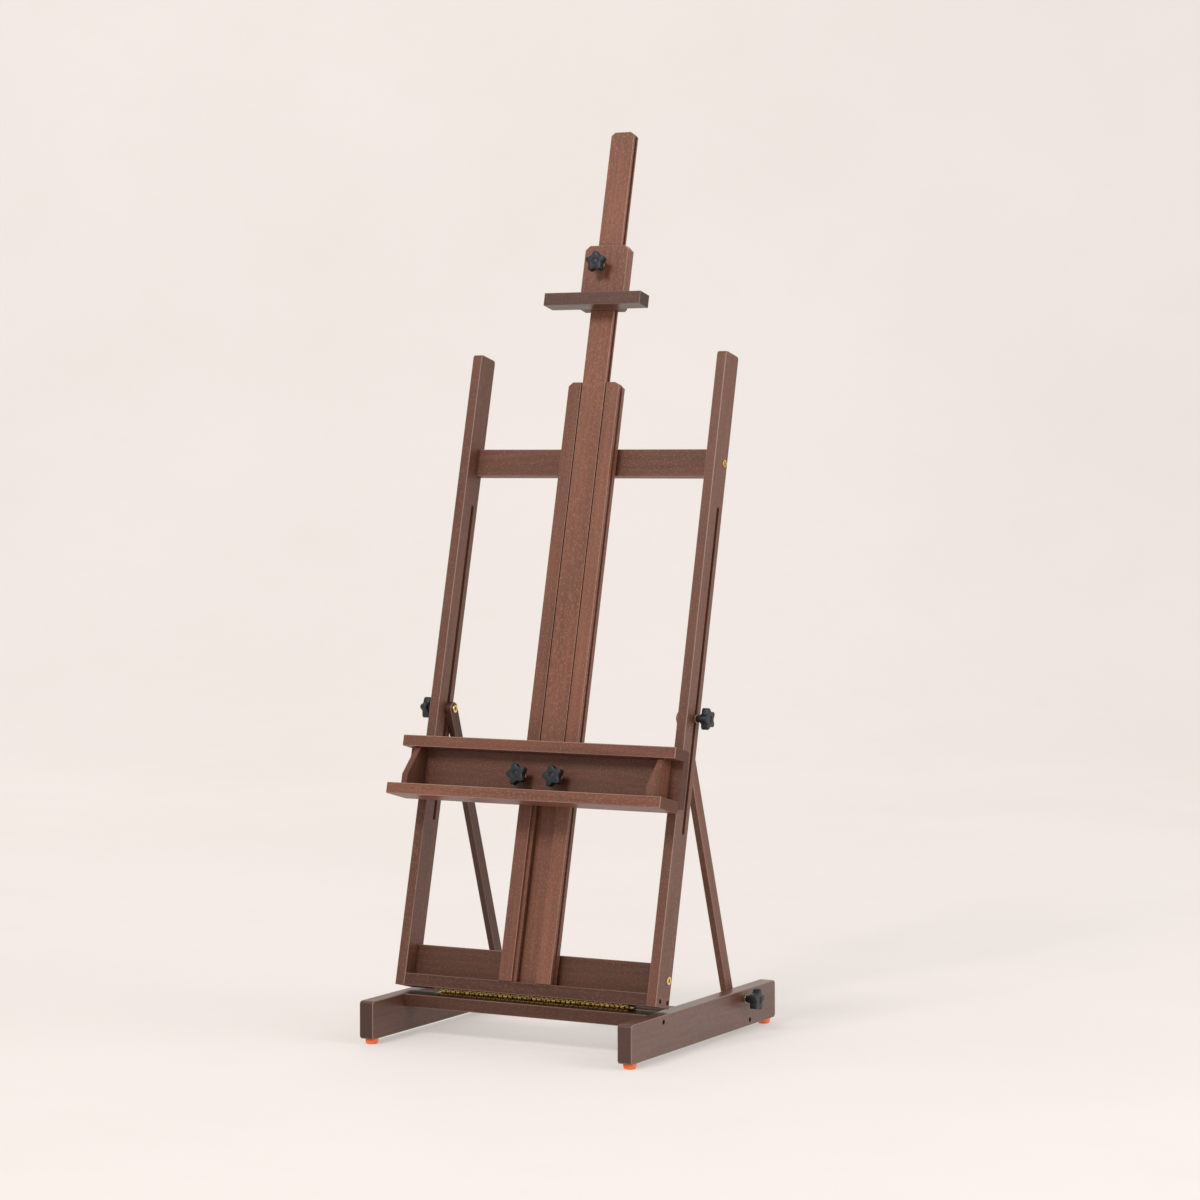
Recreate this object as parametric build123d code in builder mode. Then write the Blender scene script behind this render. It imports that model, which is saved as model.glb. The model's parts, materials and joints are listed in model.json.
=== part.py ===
"""H-frame studio easel of walnut-stained beech: a floor base, a leaning frame on a piano hinge with two
rear stays, a sliding tray, and a sliding mast with an upper canvas clamp. Millimetres, +Z up, the
viewer stands on the -Y side. The origin lies on the floor under the middle of the base."""

from build123d import *
import math
import os

# Floor base
RUNNER_LENGTH = 572.0
RUNNER_HEIGHT = 70.0
RUNNER_THICK = 29.0
RUNNER_CORNER = 7.0
FOOT_HEIGHT = 10.0
FOOT_RADIUS = 12.0
FOOT_ROUNDING = 3.0
FOOT_INSET = 20.0
INNER_HALF = 255.0
BASE_TOP = FOOT_HEIGHT + RUNNER_HEIGHT
RUNNER_OUTER = INNER_HALF + RUNNER_THICK
PLANK_FRONT = -178.0
PLANK_BACK = -129.4
PLANK_THICK = 24.0
REAR_BAR_Y = 178.0
REAR_BAR_DEPTH = 28.0
REAR_BAR_HEIGHT = 21.0

# Piano hinge, whose pin runs along X just behind the frame's lower back edge
PIN_Y = -126.0
PIN_Z = BASE_TOP + 1.6
PIN_RADIUS = 1.15
PIN_BORE = 1.25
KNUCKLE_RADIUS = 2.8
KNUCKLE_PITCH = 10.25
KNUCKLE_GAP = 0.5
KNUCKLES = 40
LEAF_THICK = 1.2
LEAF_WIDTH = 25.0
HINGE_LENGTH = KNUCKLES * KNUCKLE_PITCH
KNUCKLE_LENGTH = KNUCKLE_PITCH - KNUCKLE_GAP
HINGE_SCREWS = 8
HINGE_SCREW_STEP = HINGE_LENGTH / HINGE_SCREWS
HINGE_SCREW_HEAD = 2.7
HINGE_SCREW_HOLE = 2.8

# Leaning frame; u runs across, v up along the uprights, w square to them from the front to the back
LEAN = math.radians(13.85)
PIN_V = -1.6
PIN_W = 55.1
UPRIGHT_LENGTH = 1212.0
UPRIGHT_THICK = 20.0
UPRIGHT_DEPTH = 52.0
UPRIGHT_OUTER = INNER_HALF + UPRIGHT_THICK
SLOT_LOW = 312.0
SLOT_HIGH = 920.0
SLOT_WIDTH = 9.0
SLOT_W = 33.4
RAIL_FRONT = 32.0
TOP_RAIL_LOW = 978.0
TOP_RAIL_HIGH = 1030.5
BOTTOM_BOARD_HIGH = 79.0
FOOT_RAIL_HIGH = 23.0
FOOT_RAIL_FRONT = 1.5

# Column with its channel, and the mast that slides in it
COLUMN_HALF = 54.5
CHANNEL_HALF = 27.25
COLUMN_TOP = 1153.5
COLUMN_DEPTH = 25.0
COLUMN_CORNER_U = 9.0
COLUMN_CORNER_V = 8.0
OUTER_GROOVE = (8.0, 15.0)
OUTER_GROOVE_DEPTH = 6.0
TONGUE = (6.5, 12.5)
TONGUE_REACH = 7.0
COLUMN_BACK_HALF = 43.0
COLUMN_RIB_FRONT = 18.5
COLUMN_BACK_TOP = 1140.0
MAST_HALF = 25.0
MAST_THICK = 18.0
MAST_LOW = 400.0
MAST_TOP = 1651.0
MAST_CORNER_U = 8.0
MAST_CORNER_V = 7.0
MAST_GROOVE = (6.0, 13.0)
MAST_GROOVE_DEPTH = 6.0
MAST_LOCK_V = 1090.0

# Tray that slides on the column
TRAY_BACK = -1.0
TRAY_BOARD_THICK = 20.0
TRAY_PLANK = 21.0
TRAY_HALF = 289.0
LEDGE_LOW = 438.0
LEDGE_FRONT = -56.0
SHELF_LOW = 343.0
SHELF_FRONT = -93.0
TRAY_BOARD_LOW = 353.0
TRAY_BOARD_FRONT = TRAY_BACK - TRAY_BOARD_THICK
BRACKET_OUTER = 264.0
BRACKET_THICK = 12.0
BRACKET_FRONT = -83.0
BRACKET_HEAD_FRONT = -48.0
BRACKET_KNEE_V = 382.0
TRAY_KNOB_U = 38.5
TRAY_KNOB_V = 396.0
GUIDE_LOW = 365.0
GUIDE_LENGTH = 66.0
GUIDE_INNER = 55.3
GUIDE_OUTER = 76.0
GUIDE_BACK = 15.0
GUIDE_LIP_TIP = 49.3
GUIDE_LIP = (8.6, 14.4)

# Upper canvas clamp on the mast
CLAMP_HALF = 46.5
CLAMP_LOW = 1294.0
CLAMP_HIGH = 1421.0
CLAMP_FRONT = -10.0
CLAMP_BACK = 12.5
CLAMP_CHANNEL_HALF = 25.8
CLAMP_CHANNEL_FRONT = -0.7
CLAMP_TONGUE_TIP = 20.0
CLAMP_TONGUE = (6.6, 12.4)
CLAMP_CORNER = 9.0
CLAMP_LOWER_CORNER = 4.0
CLAMP_KNOB_U = -5.5
CLAMP_KNOB_V = 1380.5
BAR_HALF = 104.0
BAR_HIGH = 1318.5
BAR_FRONT = -46.0

# Rear stays
STAY_WIDTH = 25.0
STAY_THICK = 14.0
STAY_GAP = 0.5
STAY_FOOT_Y = 160.0
STAY_FOOT_Z = 62.0
STAY_HEAD_V = 525.0
STAY_HEAD_W = 34.4
STAY_OUTER = INNER_HALF - STAY_GAP
STAY_INNER = STAY_OUTER - STAY_THICK

# Bolts, screws and star knobs
BOLT_RADIUS = 3.0
BOLT_HOLE = 3.1
BOLT_SEAT = 3.02
BOLT_HEAD_RADIUS = 7.5
BOLT_HEAD_HEIGHT = 2.6
FRAME_BOLT_LENGTH = 60.0
HEAD_CLEARANCE = 0.3
SCREW_HEAD_RADIUS = 4.2
SCREW_HEAD_HEIGHT = 2.5
SCREW_SHANK_RADIUS = 2.2
SCREW_SHANK_HOLE = 2.25
SCREW_BORE_RADIUS = 4.5
SCREW_SINK = 5.0
SCREW_LENGTH = 48.0
KNOB_GAP = 0.4
KNOB_STANDOFF = 4.0
KNOB_NECK_RADIUS = 6.5
KNOB_NECK_HEIGHT = 10.0
KNOB_FLANGE_RADIUS = 13.5
KNOB_FLANGE_HEIGHT = 6.0
KNOB_STAR_RADIUS = 20.0
KNOB_STAR_HEIGHT = 14.0
KNOB_VALLEY_RADIUS = 12.0
KNOB_VALLEY_CENTRE = 27.0
KNOB_LOBES = 5
KNOB_LOBE_ROUNDING = 3.0
KNOB_EDGE = 2.0
KNOB_RECESS_RADIUS = 7.0
KNOB_RECESS_DEPTH = 2.0
KNOB_BORE_DEPTH = 22.0
STUD_IN_KNOB = 20.0
STUD_TIP_GAP = 0.3

# Edge rounding of the boards
EDGE = 2.0
THIN_EDGE = 1.0

SIDES = {"left": -1, "right": 1}
ACROSS = Vector(1, 0, 0)
UP = Vector(0, math.sin(LEAN), math.cos(LEAN))
BACK = Vector(0, math.cos(LEAN), -math.sin(LEAN))
FRAME_ORIGIN = Vector(0, PIN_Y, PIN_Z) - UP * PIN_V - BACK * PIN_W
UP_AXIS = Axis((0, 0, 0), UP)


def at(u, v, w):
    """Point of the leaning frame in world coordinates."""
    return FRAME_ORIGIN + ACROSS * u + UP * v + BACK * w


def front_plane(w):
    """Plane parallel to the frame's front; local x is u, y is v, and it faces the viewer."""
    return Plane(origin=at(0, 0, w), x_dir=ACROSS, z_dir=-BACK)


def level_plane(v):
    """Plane square to the uprights; local x is u, y is w, and it faces up along them."""
    return Plane(origin=at(0, v, 0), x_dir=ACROSS, z_dir=UP)


def side_plane(u):
    """Plane of the frame's side; local x is w, y is v, and it faces +X."""
    return Plane(origin=at(u, 0, 0), x_dir=BACK, z_dir=ACROSS)


def front_seat(u, v, w):
    """Seat for a knob or hole that faces the viewer."""
    return Plane(origin=at(u, v, w), x_dir=ACROSS, z_dir=-BACK)


def back_seat(u, v, w):
    """Seat for a knob or hole that faces away from the viewer."""
    return Plane(origin=at(u, v, w), x_dir=ACROSS, z_dir=BACK)


def frame_side_seat(side, u, v, w):
    """Seat on the frame that faces outward from its left or right."""
    return Plane(origin=at(side * u, v, w), x_dir=UP, z_dir=ACROSS * side)


def base_side_seat(side, x, y, z):
    """Seat on the base that faces outward from its left or right."""
    return Plane(origin=(side * x, y, z), x_dir=(0, 0, 1), z_dir=(side, 0, 0))


STAY_FOOT = Vector(0, STAY_FOOT_Y, STAY_FOOT_Z)
STAY_HEAD = at(0, STAY_HEAD_V, STAY_HEAD_W)
STAY_LENGTH = (STAY_HEAD - STAY_FOOT).length
STAY_UP = (STAY_HEAD - STAY_FOOT).normalized()

BASE_SCREW_SPOTS = [(-166.0, BASE_TOP - PLANK_THICK / 2), (REAR_BAR_Y, FOOT_HEIGHT + REAR_BAR_HEIGHT / 2)]
FRAME_BOLT_SPOTS = [(1004.0, 38.5), (50.0, 38.5)]
FRAME_SCREW_SPOTS = [(10.5, 15.0), (10.5, 43.5)]


def save(body, label):
    """Names a finished sub-part and writes its STEP file."""
    body.part.label = label
    export_step(body.part, f"parts/{label}.step")


def screw_group(seats):
    """Sunk wood screws, one per seat."""
    with BuildPart() as screws:
        for seat in seats:
            with BuildSketch(seat.offset(-SCREW_SINK)):
                Circle(SCREW_HEAD_RADIUS)
            extrude(amount=SCREW_HEAD_HEIGHT)
            with BuildSketch(seat.offset(-SCREW_SINK)):
                Circle(SCREW_SHANK_RADIUS)
            extrude(amount=SCREW_SINK - SCREW_LENGTH)
    return screws


def screw_holes(seats):
    """Counterbored holes for sunk screws, cut from the part being built."""
    with Locations(*seats):
        CounterBoreHole(
            radius=SCREW_SHANK_HOLE,
            counter_bore_radius=SCREW_BORE_RADIUS,
            counter_bore_depth=SCREW_SINK,
            depth=SCREW_LENGTH + THIN_EDGE,
        )


def bolt(seat, reach):
    """Bolt with a low brass head; the seat faces the head and the shank runs the other way."""
    with BuildPart() as body:
        with BuildSketch(seat):
            Circle(BOLT_HEAD_RADIUS)
        extrude(amount=BOLT_HEAD_HEIGHT)
        fillet(body.faces().sort_by(Axis(seat.origin, seat.z_dir))[-1].edges(), radius=THIN_EDGE)
        with BuildSketch(seat):
            Circle(BOLT_RADIUS)
        extrude(amount=-reach)
    return body


def star_knob(seat):
    """Five-lobed star knob with a neck, a flange and a round recess in its face."""
    top = KNOB_NECK_HEIGHT + KNOB_FLANGE_HEIGHT + KNOB_STAR_HEIGHT
    with BuildPart() as knob:
        with BuildSketch(seat.offset(KNOB_NECK_HEIGHT + KNOB_FLANGE_HEIGHT)):
            Circle(KNOB_STAR_RADIUS)
            with PolarLocations(KNOB_VALLEY_CENTRE, KNOB_LOBES):
                Circle(KNOB_VALLEY_RADIUS, mode=Mode.SUBTRACT)
            fillet(vertices(), radius=KNOB_LOBE_ROUNDING)
        extrude(amount=KNOB_STAR_HEIGHT)
        fillet(knob.faces().filter_by(Axis((0, 0, 0), seat.z_dir)).edges(), radius=KNOB_EDGE)
        with BuildSketch(seat):
            Circle(KNOB_NECK_RADIUS)
        extrude(amount=KNOB_NECK_HEIGHT)
        with BuildSketch(seat.offset(KNOB_NECK_HEIGHT)):
            Circle(KNOB_NECK_RADIUS)
        with BuildSketch(seat.offset(KNOB_NECK_HEIGHT + KNOB_FLANGE_HEIGHT)):
            Circle(KNOB_FLANGE_RADIUS)
        loft()
        with BuildSketch(seat.offset(top)):
            Circle(KNOB_RECESS_RADIUS)
        extrude(amount=-KNOB_RECESS_DEPTH, mode=Mode.SUBTRACT)
        with BuildSketch(seat):
            Circle(BOLT_SEAT)
        extrude(amount=KNOB_BORE_DEPTH, mode=Mode.SUBTRACT)
    return knob


def knob_stud(seat, reach):
    """Steel stud of a clamping knob, from inside the knob to its tip beyond the seat."""
    with BuildPart() as stud:
        with BuildSketch(seat.offset(-reach)):
            Circle(BOLT_RADIUS)
        extrude(amount=reach + STUD_IN_KNOB)
    return stud


def hinge_leaf(leaf_plane, section_plane, pin, starts):
    """Hinge leaf with its knuckles; pin is the centre of the pin in the section plane."""
    leaf_back = pin[0] - KNUCKLE_RADIUS - KNUCKLE_GAP
    with BuildPart() as leaf:
        with BuildSketch(leaf_plane):
            with Locations((0, leaf_back - LEAF_WIDTH / 2)):
                Rectangle(HINGE_LENGTH, LEAF_WIDTH)
            for start in starts:
                with Locations((start + KNUCKLE_LENGTH / 2, (leaf_back + pin[0]) / 2)):
                    Rectangle(KNUCKLE_LENGTH, pin[0] - leaf_back)
            with Locations((0, leaf_back - LEAF_WIDTH / 2)):
                with GridLocations(HINGE_SCREW_STEP, 0, HINGE_SCREWS, 1):
                    Circle(HINGE_SCREW_HOLE, mode=Mode.SUBTRACT)
        extrude(amount=LEAF_THICK)
        for start in starts:
            with BuildSketch(section_plane.offset(start)):
                with Locations(pin):
                    Circle(KNUCKLE_RADIUS)
            extrude(amount=KNUCKLE_LENGTH)
        with BuildSketch(section_plane.offset(-HINGE_LENGTH / 2)):
            with Locations(pin):
                Circle(PIN_BORE)
        extrude(amount=HINGE_LENGTH, mode=Mode.SUBTRACT)
    return leaf


def hinge_screws(leaf_plane, pin):
    """Screw heads that lie in a leaf's holes."""
    with BuildPart() as screws:
        with BuildSketch(leaf_plane):
            with Locations((0, pin[0] - KNUCKLE_RADIUS - KNUCKLE_GAP - LEAF_WIDTH / 2)):
                with GridLocations(HINGE_SCREW_STEP, 0, HINGE_SCREWS, 1):
                    Circle(HINGE_SCREW_HEAD)
        extrude(amount=LEAF_THICK)
    return screws


def base_screw_seats(side):
    return [base_side_seat(side, RUNNER_OUTER, y, z) for y, z in BASE_SCREW_SPOTS]


def frame_screw_seats(side):
    return [frame_side_seat(side, UPRIGHT_OUTER, v, w) for v, w in FRAME_SCREW_SPOTS]


def frame_bolt_seats(side):
    return [frame_side_seat(side, UPRIGHT_OUTER, v, w) for v, w in FRAME_BOLT_SPOTS]


os.makedirs("parts", exist_ok=True)

# Base: a runner on each side, a flat front plank and a low rear bar between them
for name, side in SIDES.items():
    with BuildPart() as runner:
        with BuildSketch(Plane.YZ.offset(min(side * INNER_HALF, side * RUNNER_OUTER))):
            with Locations((0, FOOT_HEIGHT + RUNNER_HEIGHT / 2)):
                RectangleRounded(RUNNER_LENGTH, RUNNER_HEIGHT, RUNNER_CORNER)
        extrude(amount=RUNNER_THICK)
        fillet(runner.faces().filter_by(Axis.X).edges(), radius=EDGE)
        screw_holes(base_screw_seats(side))
        with Locations(base_side_seat(side, RUNNER_OUTER, STAY_FOOT_Y, STAY_FOOT_Z)):
            Hole(radius=BOLT_SEAT)
    save(runner, f"runner_{name}")

with BuildPart() as front_plank:
    with BuildSketch(Plane.XY.offset(BASE_TOP - PLANK_THICK)):
        with Locations((0, (PLANK_FRONT + PLANK_BACK) / 2)):
            Rectangle(2 * INNER_HALF, PLANK_BACK - PLANK_FRONT)
    extrude(amount=PLANK_THICK)
    fillet(front_plank.edges().filter_by(Axis.X), radius=EDGE)
    for side in SIDES.values():
        screw_holes(base_screw_seats(side)[:1])
save(front_plank, "front_plank")

with BuildPart() as rear_bar:
    with BuildSketch(Plane.XY.offset(FOOT_HEIGHT)):
        with Locations((0, REAR_BAR_Y)):
            Rectangle(2 * INNER_HALF, REAR_BAR_DEPTH)
    extrude(amount=REAR_BAR_HEIGHT)
    fillet(rear_bar.edges().filter_by(Axis.X), radius=EDGE)
    for side in SIDES.values():
        screw_holes(base_screw_seats(side)[1:])
save(rear_bar, "rear_bar")

with BuildPart() as rubber_feet:
    foot_y = RUNNER_LENGTH / 2 - FOOT_INSET
    with BuildSketch(Plane.XY):
        with GridLocations(2 * INNER_HALF + RUNNER_THICK, 2 * foot_y, 2, 2):
            Circle(FOOT_RADIUS)
    extrude(amount=FOOT_HEIGHT)
    fillet(rubber_feet.faces().group_by(Axis.Z)[0].edges(), radius=FOOT_ROUNDING)
save(rubber_feet, "rubber_feet")

save(screw_group(base_screw_seats(-1) + base_screw_seats(1)), "base_screws")

# Piano hinge: leaves with interleaved knuckles, their screws and the pin
knuckle_starts = [-HINGE_LENGTH / 2 + KNUCKLE_PITCH * i + KNUCKLE_GAP / 2 for i in range(KNUCKLES)]
lower_leaf_plane = Plane.XY.offset(BASE_TOP)
upper_leaf_plane = level_plane(-LEAF_THICK)

save(hinge_leaf(lower_leaf_plane, Plane.YZ, (PIN_Y, PIN_Z), knuckle_starts[::2]), "hinge_leaf_lower")
save(hinge_leaf(upper_leaf_plane, side_plane(0), (PIN_W, PIN_V), knuckle_starts[1::2]), "hinge_leaf_upper")
save(hinge_screws(lower_leaf_plane, (PIN_Y, PIN_Z)), "hinge_screws_lower")
save(hinge_screws(upper_leaf_plane, (PIN_W, PIN_V)), "hinge_screws_upper")

with BuildPart() as hinge_pin:
    with BuildSketch(Plane.YZ.offset(-HINGE_LENGTH / 2)):
        with Locations((PIN_Y, PIN_Z)):
            Circle(PIN_RADIUS)
    extrude(amount=HINGE_LENGTH)
save(hinge_pin, "hinge_pin")

# Leaning frame: slotted uprights, top rail, bottom board and foot rail
for name, side in SIDES.items():
    lower_u = min(side * INNER_HALF, side * UPRIGHT_OUTER)
    with BuildPart() as upright:
        with BuildSketch(side_plane(lower_u)):
            with Locations((UPRIGHT_DEPTH / 2, UPRIGHT_LENGTH / 2)):
                Rectangle(UPRIGHT_DEPTH, UPRIGHT_LENGTH)
            fillet(vertices().group_by(Axis.Y)[-1], radius=RUNNER_CORNER)
        extrude(amount=UPRIGHT_THICK)
        fillet(upright.faces().filter_by(Axis.X).edges(), radius=EDGE)
        with BuildSketch(side_plane(lower_u)):
            with Locations((SLOT_W, (SLOT_LOW + SLOT_HIGH) / 2)):
                SlotOverall(SLOT_HIGH - SLOT_LOW, SLOT_WIDTH, rotation=90)
        extrude(amount=UPRIGHT_THICK, mode=Mode.SUBTRACT)
        screw_holes(frame_screw_seats(side))
        with Locations(*frame_bolt_seats(side)):
            Hole(radius=BOLT_SEAT)
    save(upright, f"upright_{name}")

with BuildPart() as top_rail:
    with BuildSketch(front_plane(UPRIGHT_DEPTH)):
        with Locations((0, (TOP_RAIL_LOW + TOP_RAIL_HIGH) / 2)):
            Rectangle(2 * INNER_HALF, TOP_RAIL_HIGH - TOP_RAIL_LOW)
    extrude(amount=UPRIGHT_DEPTH - RAIL_FRONT)
    fillet(top_rail.edges().filter_by(Axis.X), radius=EDGE)
    with Locations(frame_bolt_seats(-1)[0], frame_bolt_seats(1)[0]):
        Hole(radius=BOLT_SEAT, depth=FRAME_BOLT_LENGTH + THIN_EDGE)
save(top_rail, "top_rail")

with BuildPart() as bottom_board:
    with BuildSketch(front_plane(UPRIGHT_DEPTH)):
        with Locations((0, BOTTOM_BOARD_HIGH / 2)):
            Rectangle(2 * INNER_HALF, BOTTOM_BOARD_HIGH)
    extrude(amount=UPRIGHT_DEPTH - RAIL_FRONT)
    fillet(bottom_board.edges().filter_by(Axis.X).group_by(UP_AXIS)[-1], radius=EDGE)
    with Locations(frame_bolt_seats(-1)[1], frame_bolt_seats(1)[1]):
        Hole(radius=BOLT_SEAT, depth=FRAME_BOLT_LENGTH + THIN_EDGE)
    for side in SIDES.values():
        screw_holes(frame_screw_seats(side)[1:])
save(bottom_board, "bottom_board")

with BuildPart() as foot_rail:
    with BuildSketch(front_plane(RAIL_FRONT)):
        with Locations((0, FOOT_RAIL_HIGH / 2)):
            Rectangle(2 * INNER_HALF, FOOT_RAIL_HIGH)
    extrude(amount=RAIL_FRONT - FOOT_RAIL_FRONT)
    fillet(foot_rail.edges().filter_by(Axis.X).group_by(Axis(at(0, 0, 0), -BACK))[-1], radius=EDGE)
    for side in SIDES.values():
        screw_holes(frame_screw_seats(side)[:1])
save(foot_rail, "foot_rail")

save(screw_group(frame_screw_seats(-1) + frame_screw_seats(1)), "frame_screws")

with BuildPart() as frame_bolts:
    for seat in frame_bolt_seats(-1) + frame_bolt_seats(1):
        with BuildSketch(seat):
            Circle(BOLT_HEAD_RADIUS)
        extrude(amount=BOLT_HEAD_HEIGHT - THIN_EDGE)
        with BuildSketch(seat):
            Circle(BOLT_RADIUS)
        extrude(amount=-FRAME_BOLT_LENGTH)
save(frame_bolts, "frame_bolts")

# Column: two strips with an outer groove and an inner tongue on a thin back board
for name, side in SIDES.items():
    with BuildPart() as strip:
        with BuildSketch(front_plane(COLUMN_DEPTH)):
            with BuildLine():
                Polyline(
                    (side * CHANNEL_HALF, FOOT_RAIL_HIGH),
                    (side * COLUMN_HALF, FOOT_RAIL_HIGH),
                    (side * COLUMN_HALF, COLUMN_TOP - COLUMN_CORNER_V),
                    (side * (COLUMN_HALF - COLUMN_CORNER_U), COLUMN_TOP),
                    (side * CHANNEL_HALF, COLUMN_TOP),
                    close=True,
                )
            make_face()
        extrude(amount=COLUMN_DEPTH)
        front_edges = strip.faces().sort_by(Axis(at(0, 0, 0), BACK))[0].edges()
        fillet(front_edges.filter_by(UP_AXIS), radius=THIN_EDGE)
        with BuildSketch(level_plane(FOOT_RAIL_HIGH)):
            with Locations((side * (COLUMN_HALF - OUTER_GROOVE_DEPTH / 2), sum(OUTER_GROOVE) / 2)):
                Rectangle(OUTER_GROOVE_DEPTH, OUTER_GROOVE[1] - OUTER_GROOVE[0])
        extrude(amount=COLUMN_TOP, mode=Mode.SUBTRACT)
        with BuildSketch(level_plane(FOOT_RAIL_HIGH)):
            with Locations((side * (CHANNEL_HALF - TONGUE_REACH / 2), sum(TONGUE) / 2)):
                Rectangle(TONGUE_REACH, TONGUE[1] - TONGUE[0])
        extrude(amount=COLUMN_TOP - FOOT_RAIL_HIGH)
    save(strip, f"column_strip_{name}")

with BuildPart() as column_back:
    with BuildSketch(front_plane(RAIL_FRONT)):
        with Locations((0, (FOOT_RAIL_HIGH + COLUMN_BACK_TOP) / 2)):
            Rectangle(2 * COLUMN_BACK_HALF, COLUMN_BACK_TOP - FOOT_RAIL_HIGH)
    extrude(amount=RAIL_FRONT - COLUMN_DEPTH)
    with BuildSketch(front_plane(COLUMN_DEPTH)):
        with Locations((0, (FOOT_RAIL_HIGH + COLUMN_BACK_TOP) / 2)):
            Rectangle(2 * CHANNEL_HALF, COLUMN_BACK_TOP - FOOT_RAIL_HIGH)
    extrude(amount=COLUMN_DEPTH - COLUMN_RIB_FRONT)
    with Locations(back_seat(0, MAST_LOCK_V, RAIL_FRONT)):
        Hole(radius=BOLT_HOLE)
save(column_back, "column_back")

# Mast with a groove down each side
with BuildPart() as mast:
    with BuildSketch(front_plane(MAST_THICK)):
        with Locations((0, (MAST_LOW + MAST_TOP) / 2)):
            Rectangle(2 * MAST_HALF, MAST_TOP - MAST_LOW)
        chamfer(vertices().group_by(Axis.Y)[-1], length=MAST_CORNER_V, length2=MAST_CORNER_U)
    extrude(amount=MAST_THICK)
    fillet(mast.edges().filter_by(UP_AXIS), radius=THIN_EDGE)
    with BuildSketch(level_plane(MAST_LOW)):
        for side in SIDES.values():
            with Locations((side * (MAST_HALF - MAST_GROOVE_DEPTH / 2), sum(MAST_GROOVE) / 2)):
                Rectangle(MAST_GROOVE_DEPTH, MAST_GROOVE[1] - MAST_GROOVE[0])
    extrude(amount=MAST_TOP, mode=Mode.SUBTRACT)
save(mast, "mast")

# Tray: canvas ledge, back board, lower shelf, end brackets and guides that grip the column
with BuildPart() as canvas_ledge:
    with BuildSketch(level_plane(LEDGE_LOW)):
        with Locations((0, (LEDGE_FRONT + TRAY_BACK) / 2)):
            Rectangle(2 * TRAY_HALF, TRAY_BACK - LEDGE_FRONT)
    extrude(amount=TRAY_PLANK)
    fillet(canvas_ledge.edges(), radius=EDGE)
save(canvas_ledge, "canvas_ledge")

with BuildPart() as tray_shelf:
    with BuildSketch(level_plane(SHELF_LOW)):
        with Locations((0, (SHELF_FRONT + TRAY_BOARD_FRONT) / 2)):
            Rectangle(2 * TRAY_HALF, TRAY_BOARD_FRONT - SHELF_FRONT)
    extrude(amount=TRAY_PLANK)
    fillet(tray_shelf.edges(), radius=EDGE)
save(tray_shelf, "tray_shelf")

with BuildPart() as tray_back_board:
    with BuildSketch(front_plane(TRAY_BACK)):
        with Locations((0, (TRAY_BOARD_LOW + LEDGE_LOW) / 2)):
            Rectangle(2 * TRAY_HALF, LEDGE_LOW - TRAY_BOARD_LOW)
    extrude(amount=TRAY_BOARD_THICK)
    for side in SIDES.values():
        with Locations(front_seat(side * TRAY_KNOB_U, TRAY_KNOB_V, TRAY_BOARD_FRONT)):
            Hole(radius=BOLT_HOLE)
save(tray_back_board, "tray_back_board")

for name, side in SIDES.items():
    with BuildPart() as bracket:
        with BuildSketch(side_plane(min(side * BRACKET_OUTER, side * (BRACKET_OUTER - BRACKET_THICK)))):
            with BuildLine():
                outline = FilletPolyline(
                    (TRAY_BOARD_FRONT, LEDGE_LOW),
                    (BRACKET_HEAD_FRONT, LEDGE_LOW),
                    (BRACKET_FRONT, BRACKET_KNEE_V),
                    (BRACKET_FRONT, SHELF_LOW + TRAY_PLANK),
                    (TRAY_BOARD_FRONT, SHELF_LOW + TRAY_PLANK),
                    radius=THIN_EDGE,
                )
                Line(outline @ 1, outline @ 0)
            make_face()
        extrude(amount=BRACKET_THICK)
    save(bracket, f"tray_bracket_{name}")

    with BuildPart() as guide:
        with BuildSketch(level_plane(GUIDE_LOW)):
            with Locations((side * (GUIDE_INNER + GUIDE_OUTER) / 2, (TRAY_BACK + GUIDE_BACK) / 2)):
                Rectangle(GUIDE_OUTER - GUIDE_INNER, GUIDE_BACK - TRAY_BACK)
            with Locations((side * (GUIDE_LIP_TIP + GUIDE_INNER) / 2, sum(GUIDE_LIP) / 2)):
                Rectangle(GUIDE_INNER - GUIDE_LIP_TIP, GUIDE_LIP[1] - GUIDE_LIP[0])
        extrude(amount=GUIDE_LENGTH)
    save(guide, f"tray_guide_{name}")

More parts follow.
